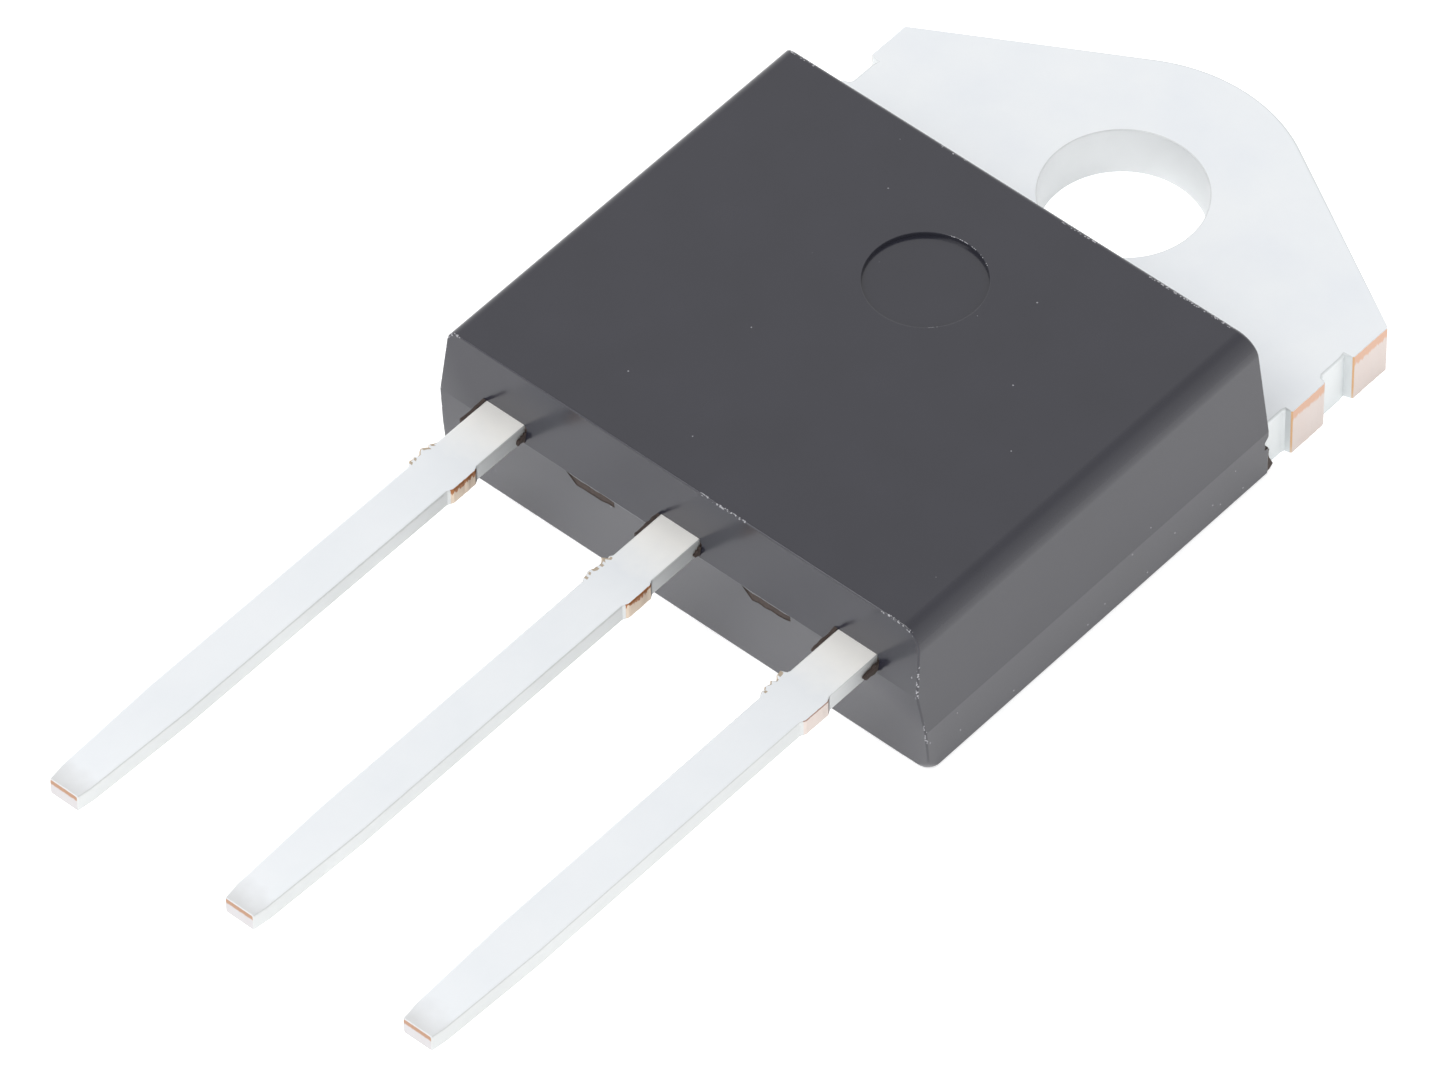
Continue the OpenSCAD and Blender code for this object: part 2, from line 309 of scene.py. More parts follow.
# epoxy moulding compound off a spark-eroded mould: dark slate, even, half gloss, with pale spots in a share
# of the
# cells, all over or only in clusters: filler grains on the faces, and pale flecks painted as glints on the
# edges
def mouldedEpoxy(name, spotMm, spotRadius, spotShare, spotColour, clusterMm=None):
    look = {"dark": "#23232c", "pale": "#2a2a34", "cloudMm": 1.6, "cloudDetail": 3.0,
            "grainMm": 0.09,  # real grain is near 0.03 mm, drawn coarser so that it shows
            "grainDepth": 0.002, "grainStrength": 0.25,
            "clusterLevel": 0.54, "roughness": 0.18, "ior": 1.65}
    material, tree, shader, coords = newMaterial(name)
    cloud = addNode(tree, "TexNoise", {"Scale": perMetre(look["cloudMm"]), "Detail": look["cloudDetail"]},
                    {"Vector": coords})
    tone = addNode(tree, "Mix", {"data_type": "RGBA", "A_Color": linear(look["dark"]),
                                 "B_Color": linear(look["pale"])}, {"Factor_Float": cloud})
    cells = addNode(tree, "TexVoronoi", {"Scale": perMetre(spotMm)}, {"Vector": coords})
    disc = addNode(tree, "Math", {"operation": "LESS_THAN", "Value_001": spotRadius}, {"Value": cells})
    chance = addNode(tree, "SeparateColor", {}, {"Color": cells.outputs["Color"]})
    few = addNode(tree, "Math", {"operation": "GREATER_THAN", "Value_001": 1 - spotShare}, {"Value": chance})
    spots = addNode(tree, "Math", {"operation": "MULTIPLY"}, {"Value": disc, "Value_001": few})
    if clusterMm:
        uneven = addNode(tree, "TexNoise", {"Scale": perMetre(clusterMm)}, {"Vector": coords})
        clusters = addNode(tree, "Math", {"operation": "GREATER_THAN", "Value_001": look["clusterLevel"]},
                           {"Value": uneven})
        spots = addNode(tree, "Math", {"operation": "MULTIPLY"}, {"Value": spots, "Value_001": clusters})
    speckled = addNode(tree, "Mix", {"data_type": "RGBA", "B_Color": linear(spotColour)},
                       {"Factor_Float": spots, "A_Color": tone})
    grain = addNode(tree, "TexNoise", {"Scale": perMetre(look["grainMm"])}, {"Vector": coords})
    bump = addNode(tree, "Bump", {"Strength": look["grainStrength"], "Distance": look["grainDepth"] * mm},
                   {"Height": grain})
    setNode(tree, shader, {"Roughness": look["roughness"], "IOR": look["ior"]},
            {"Base Color": speckled, "Normal": bump})
    return material


# the same compound where it broke or bled out as flash: dull, brownish black, crumbly
def brokenEpoxy():
    look = {"dark": "#252120", "pale": "#50413a",
            "grainMm": 0.07,  # the coarsest filler grains
            "grainDetail": 3.0, "grainDepth": 0.03, "grainStrength": 0.7, "roughness": 0.8, "ior": 1.5}
    material, tree, shader, coords = newMaterial("epoxyCompoundBroken")
    grain = addNode(tree, "TexNoise", {"Scale": perMetre(look["grainMm"]), "Detail": look["grainDetail"]},
                    {"Vector": coords})
    tone = addNode(tree, "Mix", {"data_type": "RGBA", "A_Color": linear(look["dark"]),
                                 "B_Color": linear(look["pale"])}, {"Factor_Float": grain})
    bump = addNode(tree, "Bump", {"Strength": look["grainStrength"], "Distance": look["grainDepth"] * mm},
                   {"Height": grain})
    setNode(tree, shader, {"Roughness": look["roughness"], "IOR": look["ior"]},
            {"Base Color": tone, "Normal": bump})
    return material


# matt electroplated tin: nearly white, blurred reflections, faint clouds, rolling lines under the plating;
# each fade has its start and end in Y and the tone beyond it
def tinPlating(name, bright, shade, roughness, fades=()):
    look = {"cloudMm": 1.8, "cloudDetail": 4.0, "roughSpread": 0.06,
            "patchMm": 0.5, "patchReach": 0.6,
            "lineMm": 0.12, "lineStretch": (1.0, 0.06, 1.0),  # real lines are finer still, drawn to show
            "grainMm": 0.05,  # real tin grain is near 0.005 mm, drawn coarser so that it shows
            "grainDetail": 1.0, "grainDepth": 0.003, "grainStrength": 0.3}
    material, tree, shader, coords = newMaterial(name)
    cloud = addNode(tree, "TexNoise", {"Scale": perMetre(look["cloudMm"]), "Detail": look["cloudDetail"]},
                    {"Vector": coords})
    colour = addNode(tree, "Mix", {"data_type": "RGBA", "A_Color": linear(bright),
                                   "B_Color": linear(shade)}, {"Factor_Float": cloud})
    for start, end, tone in fades:
        split = addNode(tree, "SeparateXYZ", {}, {"Vector": coords})
        patch = addNode(tree, "TexNoise", {"Scale": perMetre(look["patchMm"])}, {"Vector": coords})
        uneven = addNode(tree, "Math", {"operation": "MULTIPLY_ADD", "Value_001": look["patchReach"] * mm},
                         {"Value": patch, "Value_002": split.outputs["Y"]})
        fade = addNode(tree, "MapRange", {"From Min": start * mm, "From Max": end * mm}, {"Value": uneven})
        colour = addNode(tree, "Mix", {"data_type": "RGBA", "B_Color": linear(tone)},
                         {"Factor_Float": fade, "A_Color": colour})
    blur = addNode(tree, "MapRange", {"To Min": roughness - look["roughSpread"],
                                      "To Max": roughness + look["roughSpread"]}, {"Value": cloud})
    rolled = addNode(tree, "Mapping", {"Scale": look["lineStretch"]}, {"Vector": coords})
    lines = addNode(tree, "TexNoise", {"Scale": perMetre(look["lineMm"])}, {"Vector": rolled})
    grain = addNode(tree, "TexNoise", {"Scale": perMetre(look["grainMm"]), "Detail": look["grainDetail"]},
                    {"Vector": coords})
    height = addNode(tree, "Math", {"operation": "ADD"}, {"Value": lines, "Value_001": grain})
    bump = addNode(tree, "Bump", {"Strength": look["grainStrength"], "Distance": look["grainDepth"] * mm},
                   {"Height": height})
    setNode(tree, shader, {"Metallic": 1.0}, {"Base Color": colour, "Roughness": blur, "Normal": bump})
    return material


# copper strip sheared after plating: bare orange at the side the punch entered, tin dragged over the rest;
# the bare band reaches bandDepth down from topEdge, in mm, and ragged says how far its lower edge wanders
def shearedCopper(name, topEdge, bandDepth, copper, smear, streakMm=0.07, ragged=1.0):
    look = {"streakDetail": 3.0, "streakStretch": (1.0, 1.0, 0.12), "streakDepth": 0.012,
            "streakStrength": 0.6, "soften": 0.12,
            "blotchMm": 0.3, "blotchStretch": (1.0, 1.0, 0.3), "blotchShare": 0.12, "roughness": 0.45}
    material, tree, shader, coords = newMaterial(name)
    dragged = addNode(tree, "Mapping", {"Scale": look["streakStretch"]}, {"Vector": coords})
    streaks = addNode(tree, "TexNoise", {"Scale": perMetre(streakMm), "Detail": look["streakDetail"]},
                      {"Vector": dragged})
    split = addNode(tree, "SeparateXYZ", {}, {"Vector": coords})
    lowest = topEdge - (1 + 0.5 * ragged) * bandDepth  # the noise lies round a half
    wander = addNode(tree, "Math", {"operation": "MULTIPLY_ADD", "Value_001": ragged * bandDepth * mm,
                                    "Value_002": lowest * mm}, {"Value": streaks})
    above = addNode(tree, "Math", {"operation": "SUBTRACT"},
                    {"Value": split.outputs["Z"], "Value_001": wander})
    soft = look["soften"] * bandDepth * mm
    band = addNode(tree, "MapRange", {"From Min": -soft, "From Max": soft}, {"Value": above})
    stretched = addNode(tree, "Mapping", {"Scale": look["blotchStretch"]}, {"Vector": coords})
    blotches = addNode(tree, "TexNoise", {"Scale": perMetre(look["blotchMm"])}, {"Vector": stretched})
    tones = {"data_type": "RGBA", "A_Color": linear(smear), "B_Color": linear(copper)}
    banded = addNode(tree, "Mix", tones, {"Factor_Float": band})
    blotched = addNode(tree, "Mix", tones, {"Factor_Float": blotches})
    colour = addNode(tree, "Mix", {"data_type": "RGBA", "Factor_Float": look["blotchShare"]},
                     {"A_Color": banded, "B_Color": blotched})
    bump = addNode(tree, "Bump", {"Strength": look["streakStrength"], "Distance": look["streakDepth"] * mm},
                   {"Height": streaks})
    setNode(tree, shader, {"Metallic": 1.0, "Roughness": look["roughness"]},
            {"Base Color": colour, "Normal": bump})
    return material


# the inner pieces, unseen once it is moulded, by the last word of their nodes
innerLooks = {
    # soft solder as it set: dull grey, coarse clouds
    "solder": {"name": "solderReflowed", "dark": "#b4b6b4", "pale": "#d2d4d2", "grainMm": 0.25,
               "grainDepth": 0.01, "roughness": 0.35, "metallic": 1.0},
    # fired alumina: chalky cream, fine grain
    "insulator": {"name": "aluminaFired", "dark": "#e6e2d8", "pale": "#f3f0e8", "grainMm": 0.08,
                  "grainDepth": 0.004, "roughness": 0.6, "metallic": 0.0, "ior": 1.76},
    # lapped silicon: dark blue grey, nearly smooth
    "die": {"name": "siliconLapped", "dark": "#4a4e57", "pale": "#5d626c", "grainMm": 0.05,
            "grainDepth": 0.001, "roughness": 0.25, "metallic": 0.8},
    # stamped copper strip: warm, drawn out along the strip
    "clip": {"name": "copperStamped", "dark": "#b8704a", "pale": "#cf8a60", "grainMm": 0.1,
             "grainDepth": 0.004, "roughness": 0.35, "metallic": 1.0, "stretch": (1.0, 0.1, 1.0)},
}


def innerFinish(look):
    grainDetail, grainStrength = 3.0, 0.5
    material, tree, shader, coords = newMaterial(look["name"])
    if "stretch" in look:
        coords = addNode(tree, "Mapping", {"Scale": look["stretch"]}, {"Vector": coords})
    grain = addNode(tree, "TexNoise", {"Scale": perMetre(look["grainMm"]), "Detail": grainDetail},
                    {"Vector": coords})
    tone = addNode(tree, "Mix", {"data_type": "RGBA", "A_Color": linear(look["dark"]),
                                 "B_Color": linear(look["pale"])}, {"Factor_Float": grain})
    bump = addNode(tree, "Bump", {"Strength": grainStrength, "Distance": look["grainDepth"] * mm},
                   {"Height": grain})
    setNode(tree, shader, {"Roughness": look["roughness"], "Metallic": look["metallic"]},
            {"Base Color": tone, "Normal": bump})
    if "ior" in look:
        setNode(tree, shader, {"IOR": look["ior"]})
    return material


def dressInner():
    finishes = {word: innerFinish(look) for word, look in innerLooks.items()}
    for name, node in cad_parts.items():
        word = name.split("_")[-1]
        if word in finishes:
            for place in node.material_slots:
                place.link, place.material = "OBJECT", finishes[word]


# slot 1 has the pale flecks painted as glints on the edges
caseSlots = {"moulded": 0, "edgeGlints": 1}
mould = {
    "sideDraft": 7.4, "leadEndDraft": 11.3, "leadEndUnderDraft": 5.6, "tabEndDraft": 1.7,  # degrees
    # from here on in mm
    "longEdge": 0.63, "longEdgeSteps": 16, "footEdge": 0.05, "footEdgeSteps": 3,
    # the left side stands upright with a tighter top edge
    "leftInset": 0.065, "leftEdge": 0.28,
    "endEdge": 0.045, "tabEndEdge": 0.14, "endSteps": 8,
    # the standing corners of the lead end open out to standingFoot over the lowest footFlare
    "standingEdge": 0.05, "standingFoot": 0.4, "footFlare": 0.5, "flareShares": (0.3, 0.6, 1),
    # in shares of the lip: how far out and how far down each point of the rim lies, and the band that has the
    # pale flecks painted as glints
    "mark": {"radius": 1.52, "depth": 0.12, "centreY": -7.32, "lip": 0.014, "steps": 96,
             "lipShares": [(0, 1), (0.3, 0.3), (1, 0)], "glintBand": (0.1, 1.5)},
    # ragged hollows; lower and upper edges by their heights at both ends, over the underside of the leads
    "vent": {"centre": 2.725, "width": 1.5, "depth": 0.045, "point": -0.01, "slant": 0.3,
             "lower": (-0.35, -0.24), "upper": (-0.06, -0.03), "steps": 6, "wobble": 0.06, "seed": 7},
    # bites beside the right edge of each lead; the upper edge is over the top of the leads
    "chip": {"width": 0.08, "depth": 0.1, "overlap": 0.05,
             "lower": (0.1, 0.16), "upper": (0.02, -0.1), "steps": 3, "wobble": 0.08, "seed": 40},
    # flash that runs out from the wall beside each lead, long on the left and short on the right;
    # thickShares are the least thickness and what chance adds, in shares of thick
    "fin": {"long": 0.72, "short": (0.22, 0.16, 0.45), "rooted": 0.12, "thick": 0.085, "gap": 0.004,
            "longEdges": ((0.36, 0.2), (0.44, 0.49)), "shortEdges": ((0.12, 0.02), (0.2, 0.3)),
            "thickShares": (0.7, 0.6), "steps": 8, "wobble": 0.08, "seed": 60},
    # breaks at the two tab-end corners, in Y and Z: what has gone, and the crumb of flash that stayed
    "breaks": {
        1: {"gone": [(-3.3, 1.40), (-3.60, 1.36), (-3.76, 1.18), (-3.74, 1.02), (-3.76, 0.93), (-3.3, 0.84)],
            "crumb": [(-3.62, 0.80), (-3.62, 0.02), (-3.5, 0.05), (-3.38, 0.14), (-3.47, 0.35),
                      (-3.54, 0.49), (-3.56, 0.62), (-3.54, 0.78)]},
        -1: {"gone": [(-3.3, 1.16), (-3.57, 1.13), (-3.66, 0.97), (-3.61, 0.82), (-3.3, 0.78)],
             "crumb": [(-3.60, 0.56), (-3.60, 0.03), (-3.46, 0.06), (-3.42, 0.28), (-3.50, 0.47)]},
    },
    # in from the side: where the gone part and the crumb start, and how far out each reaches
    "goneReach": (0.2, 0.5), "crumbReach": (0.14, 0.1),
}


# one half of the section, from the foot up to the top: its inset at the parting line, draft and top edge
def caseHalf(inset, draft, radius):
    foot, half, top = mould["footEdge"], caseHigh.x, caseHigh.z
    slope = math.tan(math.radians(draft))
    centreX = half - inset - slope * (top - radius - leadLow.z) - radius / math.cos(math.radians(draft))
    points = [(half - foot - 2 * mould["standingFoot"], 0)]
    points += arcPoints((half - foot, foot), foot, -90, 0, mould["footEdgeSteps"])
    points += [(half, mould["footFlare"] * share) for share in mould["flareShares"]]
    points += [(half, tabHigh.z), (half - inset, leadLow.z)]
    return points + arcPoints((centreX, top - radius), radius, draft, 90, mould["longEdgeSteps"])


# anticlockwise in X and Z
def caseSection():
    slope = math.tan(math.radians(mould["sideDraft"]))
    right = caseHalf(slope * (leadLow.z - tabHigh.z), mould["sideDraft"], mould["longEdge"])
    left = caseHalf(mould["leftInset"], 0, mould["leftEdge"])
    return right + [(-x, z) for x, z in reversed(left)]


def leadEndY(z):
    parting = leadLow.z
    slope = mould["leadEndDraft"] if z > parting else mould["leadEndUnderDraft"]
    return caseLow.y + abs(z - parting) * math.tan(math.radians(slope))


def tabEndY(z):
    return caseHigh.y - max(0, z - tabHigh.z) * math.tan(math.radians(mould["tabEndDraft"]))


# radius of the standing corners of the lead end
def standingRadius(z):
    below = max(0, 1 - z / mould["footFlare"]) ** 2
    return mould["standingEdge"] + (mould["standingFoot"] - mould["standingEdge"]) * below


# rings from the cap of one end out to the full section, round its edges
def endRings(section, endY, inward, level, standing):
    outward = [Vector(p) - Vector(q) for p, q in zip(section, insetPoints(section, [1] * len(section)))]
    steps, rings = mould["endSteps"], []
    corner = caseHigh.x - 1.5 * mould["footEdge"]  # beyond this lies the side, foot edge and all
    for k in range(steps + 1):
        turn = math.pi / 2 * (1 - k / steps)
        ring = []
        for (x, z), out in zip(section, outward):
            side, lift = min(1, abs(out.x)), max(-1, min(1, out.y))
            if z < tabHigh.z:
                side = 1 if abs(x) > corner else 0
            radius = level + (standing(z) - level) * side * side
            shift = standing(z) if abs(x) > corner or z > 0 else 0
            ring.append((x - math.copysign(shift, x) * (1 - math.cos(turn)),
                         endY(z) + inward * radius * (1 - math.sin(turn)),
                         z - lift * level * (1 - math.cos(turn))))
        rings.append(ring)
    return rings


def caseSkin():
    bm = bmesh.new()
    section = caseSection()
    front = endRings(section, leadEndY, 1, mould["endEdge"], standingRadius)
    back = endRings(section, tabEndY, -1, mould["tabEndEdge"], lambda z: mould["endEdge"])[::-1]
    front, back = ([addRing(bm, ring) for ring in rings] for rings in (front, back))
    # the rounded edges of both ends get the pale flecks painted as glints
    joinRings(bm, front, lambda face: caseSlots["edgeGlints"])
    joinRings(bm, [front[-1], back[0]])
    joinRings(bm, back, lambda face: caseSlots["edgeGlints"])
    for ring, level in ((front[0], leadLow.z), (back[-1], tabHigh.z)):
        # each end is two planes that meet at one level
        bm.faces.new([v for v, (x, z) in zip(ring, section) if z <= level + nearly])
        bm.faces.new([v for v, (x, z) in zip(ring, section) if z >= level - nearly])
    return bm


# ragged outline between two ends; each edge has a base height and its own heights over that at both ends
def raggedOutline(rng, shape, start, end, lowerBase, upperBase, edges):
    def edge(base, heights):
        points = []
        for i in range(shape["steps"] + 1):
            share = i / shape["steps"]
            height = base + heights[0] + (heights[1] - heights[0]) * share
            points.append((start + (end - start) * share, height + shape["wobble"] * (rng.random() - 0.5)))
        return points
    return edge(lowerBase, edges[0]) + edge(upperBase, edges[1])[::-1]


def pinMark(compound, edgeGlints):
    mark, top = mould["mark"], caseHigh.z
    r, lip = mark["radius"], mark["lip"]
    profile = [(0, top - mark["depth"]), (r, top - mark["depth"])]
    profile += [(r + out * lip, top - down * lip) for out, down in mark["lipShares"]]
    profile += [(r + lip, top + cutPast), (0, top + cutPast)]
    bm = bmesh.new()
    revolve(bm, profile, (0, mark["centreY"]), mark["steps"])
    # the band of the rim gets the pale flecks painted as glints
    near, far = mark["glintBand"]
    for face in bm.faces:
        lowest = min(v.co.z for v in face.verts)
        face.material_index = caseSlots["edgeGlints" if top - far * lip < lowest < top - near * lip else "moulded"]
    return looseObject("pinMark", bm, [compound, edgeGlints])


def caseCutters(compound, edgeGlints, broken):
    cutters = [nodeCopy(name, compound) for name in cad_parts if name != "case"]
    cutters.append(pinMark(compound, edgeGlints))
    wall = caseLow.y
    vent, chip = mould["vent"], mould["chip"]
    for side in (-1, 1):
        left = side * vent["centre"] - vent["width"] / 2
        outline = raggedOutline(random.Random(vent["seed"] + side), vent, left + vent["slant"],
                                left + vent["width"], leadLow.z, leadLow.z, (vent["lower"], vent["upper"]))
        outline.append((left, leadLow.z + vent["point"]))
        cutters.append(loosePrism("vent", outline, 1, wall - cutPast, wall + vent["depth"], broken))
        start, reach = mould["goneReach"]
        inner = side * (caseHigh.x - start)
        cutters.append(loosePrism("cornerGone", mould["breaks"][side]["gone"], 0, inner,
                                  inner + side * reach, broken))
    for x in (-leadShape["pitch"], 0, leadShape["pitch"]):
        edgeX = x + leadShape["width"] / 2
        outline = raggedOutline(random.Random(chip["seed"] + int(x)), chip, edgeX - chip["overlap"],
                                edgeX + chip["width"], leadLow.z, leadHigh.z, (chip["lower"], chip["upper"]))
        cutters.append(loosePrism("chip", outline, 1, wall - cutPast, wall + chip["depth"], broken))
    return cutters


# flash left beside the leads, and the crumbs at the tab corners
def caseFlash(broken):
    pieces = []
    wall = caseLow.y
    fin = mould["fin"]
    base, spread = fin["thickShares"]
    for x, short in zip((-leadShape["pitch"], 0, leadShape["pitch"]), fin["short"]):
        rng = random.Random(fin["seed"] + int(x))
        for side, reach, edges in ((-1, fin["long"], fin["longEdges"]), (1, short, fin["shortEdges"])):
            outline = raggedOutline(rng, fin, wall - reach, wall + fin["rooted"], leadLow.z, leadLow.z, edges)
            inner = x + side * (leadShape["width"] / 2 + fin["gap"])
            outer = inner + side * fin["thick"] * (base + spread * rng.random())
            pieces.append(loosePrism("fin", outline, 0, inner, outer, broken))
    for side in (-1, 1):
        start, reach = mould["crumbReach"]
        inner = side * (caseHigh.x - start)
        pieces.append(loosePrism("crumb", mould["breaks"][side]["crumb"], 0, inner,
                                 inner + side * reach, broken))
    return pieces


def buildCase(compound, edgeGlints, broken):
    case = looseObject("mouldedCase", caseSkin(), [compound, edgeGlints])
    carve(case, "DIFFERENCE", caseCutters(compound, edgeGlints, broken))
    carve(case, "UNION", caseFlash(broken))
    finishPiece("mouldedCase", case, replaces="case")
    weigh = case.modifiers.new("evenFlats", "WEIGHTED_NORMAL")
    weigh.weight, weigh.keep_sharp = 100, True


tabSlots = {"top": 0, "edge": 1, "stub": 2, "stubCorner": 3}
plate = {
    "shoulder": 0.77, "stubLength": 1.27, "stubGap": 1.02, "stubProud": 0.21,  # mm
    # corner points of the two stubs of a side, at their low and high ends: how far out from the notch floor
    # or the stub's own face, and how far from that end in Y
    "stubCorners": [
        ([("floor", 0, -0.12), ("floor", 0.03, -0.03), ("face", -0.04, 0), ("face", -0.004, 0.035)],
         [("face", -0.03, -0.03), ("floor", 0.06, 0.03), ("floor", 0, 0.12)]),
        ([("floor", 0, -0.24), ("floor", -0.03, -0.06), ("face", -0.04, 0), ("face", -0.004, 0.035)],
         [("face", 0, -0.02), ("face", -0.03, 0.02)]),
    ],
    "cornerBand": (0.01, 0.05), "faceBand": 0.05,  # what counts as a stub's low corner and as its face
    "neckY": -3.95, "ledgeWidth": 0.4, "ledgeHeight": 0.5, "innerHalf": 6.6, "roundSteps": 48,
    "rollOver": 0.06, "stubRoll": 0.012, "rollSteps": 3, "underEdge": 0.03,
    "holeRadius": 2.08, "holeEdge": 0.03, "holeSteps": 96,
    # in shares of holeEdge: how far out and how far down each point of the hole's rim lies
    "lipShares": [(0, 1), (0.13, 0.5), (0.5, 0.13), (1, 0)],
    "grooveY": -4.3, "grooveWidth": 0.6, "grooveDepth": 0.3,
    "sawStep": 0.09, "sawDepth": 0.012,  # teeth that the shear left on the stubs
    "seeds": (3, 5),  # of those teeth, on the right and on the left
}


# the two sheared stubs of a side, in Y
def stubSpans():
    top = plate["shoulder"]
    second = top - plate["stubLength"] - plate["stubGap"]
    return (second - plate["stubLength"], second), (top - plate["stubLength"], top)


# the right side from its foot up to the shoulder
def plateSide(innerHalf, footY, rng):
    base = {"floor": tabHigh.x - plate["stubProud"], "face": tabHigh.x}
    points = [(innerHalf, footY), (innerHalf, plate["neckY"]), (base["floor"], plate["neckY"])]
    for (low, high), (lowCorners, highCorners) in zip(stubSpans(), plate["stubCorners"]):
        points += [(base[place] + out, low + along) for place, out, along in lowCorners]
        steps = max(2, round((high - low) / plate["sawStep"]))
        for i in range(1, steps):
            points.append((base["face"] - plate["sawDepth"] * rng.random(), low + (high - low) * i / steps))
        points += [(base[place] + out, high + along) for place, out, along in highCorners]
    return points


# anticlockwise from the right foot, round the end of the tab
def plateOutline(innerHalf, footY):
    right, left = (plateSide(innerHalf, footY, random.Random(seed)) for seed in plate["seeds"])
    radius, corner = tabHigh.y, Vector((tabHigh.x, plate["shoulder"]))
    # the straight edge from the shoulder touches the round end here
    touch = math.degrees(math.atan2(corner.y, corner.x) + math.acos(radius / corner.length))
    return (right + arcPoints((0, 0), radius, touch, 180 - touch, plate["roundSteps"])
            + [(-x, y) for x, y in reversed(left)])


def buildTab(tin, edge, sheared, step, wall):
    bm = bmesh.new()
    lower = plateOutline(plate["innerHalf"] - plate["ledgeWidth"], tabLow.y + plate["ledgeWidth"])
    upper = plateOutline(plate["innerHalf"], tabLow.y)
    top, under, ledge = tabHigh.z, plate["underEdge"], plate["ledgeHeight"]
    stubX = tabHigh.x - plate["faceBand"]
    rings = []
    for outline, depth, z in ((lower, under, 0), (lower, 0, under), (lower, 0, ledge), (upper, 0, ledge)):
        rings.append([(x, y, z) for x, y in insetPoints(outline, [depth] * len(outline))])
    # the punch rolls the plate's top edge over, the later shearing leaves the stubs crisp
    rolls = [plate["stubRoll"] if abs(x) > stubX else plate["rollOver"] for x, y in upper]
    for k in range(plate["rollSteps"] + 1):
        turn = math.pi / 2 * k / plate["rollSteps"]
        moved = insetPoints(upper, [r * (1 - math.cos(turn)) for r in rolls])
        rings.append([(x, y, top - r * (1 - math.sin(turn))) for (x, y), r in zip(moved, rolls)])
    rings = [addRing(bm, ring) for ring in rings]

    def pick(face):
        before, after = plate["cornerBand"]
        xs, ys, zs = zip(*(v.co for v in face.verts))
        if min(abs(x) for x in xs) > stubX and max(zs) <= top - plate["stubRoll"] + nearly:
            corner = any(low - before < min(ys) and max(ys) < low + after for low, high in stubSpans())
            return tabSlots["stubCorner" if corner else "stub"]
        return tabSlots["edge"]

    joinRings(bm, rings, pick)
    for ring in (rings[0], rings[-1]):
        bm.faces.new(ring).material_index = tabSlots["top"]
    tab = looseObject("tabPlate", bm, [tin, edge, sheared, step])
    r, lip = plate["holeRadius"], plate["holeEdge"]
    profile = [(0, -cutPast), (r + under, -cutPast), (r + under, 0), (r, under)]
    profile += [(r + out * lip, top - down * lip) for out, down in plate["lipShares"]]
    profile += [(r + lip, top + cutPast), (0, top + cutPast)]
    hole = bmesh.new()
    revolve(hole, profile, (0, 0), plate["holeSteps"])
    y, half = plate["grooveY"], plate["grooveWidth"] / 2
    vee = [(y - half, top), (y, top - plate["grooveDepth"]), (y + half, top), (y, top + cutPast)]
    groove = loosePrism("groove", vee, 0, -caseHigh.x, caseHigh.x, edge)
    carve(tab, "DIFFERENCE", [looseObject("hole", hole, [wall]), groove])
    finishPiece("tabPlate", tab, replaces="heatsink_tab")


leadSlots = {"top": 0, "side": 1, "bar": 2, "tip": 3, "burr": 4}
leadShape = {
    "pitch": 5.45, "width": 1.22, "thickness": 0.5,  # mm
    "topEdge": 0.05, "topEdgeSteps": 3, "underEdge": 0.03, "underEdgeSteps": 2,
    # sections of the tip: distance from its end, what each side has over half of tipWidth, drop of the top
    "tipWidth": 0.89, "tipRows": [(0, -0.03, 0.03), (0.02, 0, 0.01), (0.39, 0.05, 0.012), (0.47, 0.06, 0)],
    "tipTaper": 3.5,
    # the cut tie bar, with its bare face on the right and its burr on the left
    "barDistance": 1.58, "barLength": 1.05, "barSteps": 14, "barFade": 2, "barInset": 0.04,
    "barProud": 0.07, "barWobble": 0.012, "burrProud": 0.11, "burrWobble": 0.12, "burrStrip": 0.07,
    "bareShare": 0.45, "flakeSeed": 20,  # flakes of bare copper along the burr
    "shoulders": (0.02, 0.10), "wallGap": 0.02,
    "headBack": -13.6, "headFront": -15.3, "headWidth": 3.0,
    "stepRun": 0.46, "padFront": -13.04, "padBack": -5.84, "padHalf": 4.6, "squareStep": 0.001,
}
# piece, CAD node, place in the row, and the seed of its burr
leadRow = [
    ("leadLeft", "lead_a1", -1, 11),
    ("leadMiddle", "lead_a2", 0, 12),
    ("leadRight", "lead_gate", 1, 13),
]


# rounded rectangle across the lead, from the lower right corner up and round
def leadSection(y, left, right, low, high):
    under, over = leadShape["underEdge"], leadShape["topEdge"]
    underSteps, overSteps = leadShape["underEdgeSteps"], leadShape["topEdgeSteps"]
    points = arcPoints((right - under, low + under), under, -90, 0, underSteps)
    points += arcPoints((right - over, high - over), over, 0, 90, overSteps)
    points.append((left + over + leadShape["burrStrip"], high))
    points += arcPoints((left + over, high - over), over, 90, 180, overSteps)
    points += arcPoints((left + under, low + under), under, 180, 270, underSteps)
    return [(x, y, z) for x, z in points]


# where the cut tie bar starts and ends, in Y
def barSpan():
    near = caseLow.y - leadShape["barDistance"]
    return near - leadShape["barLength"], near


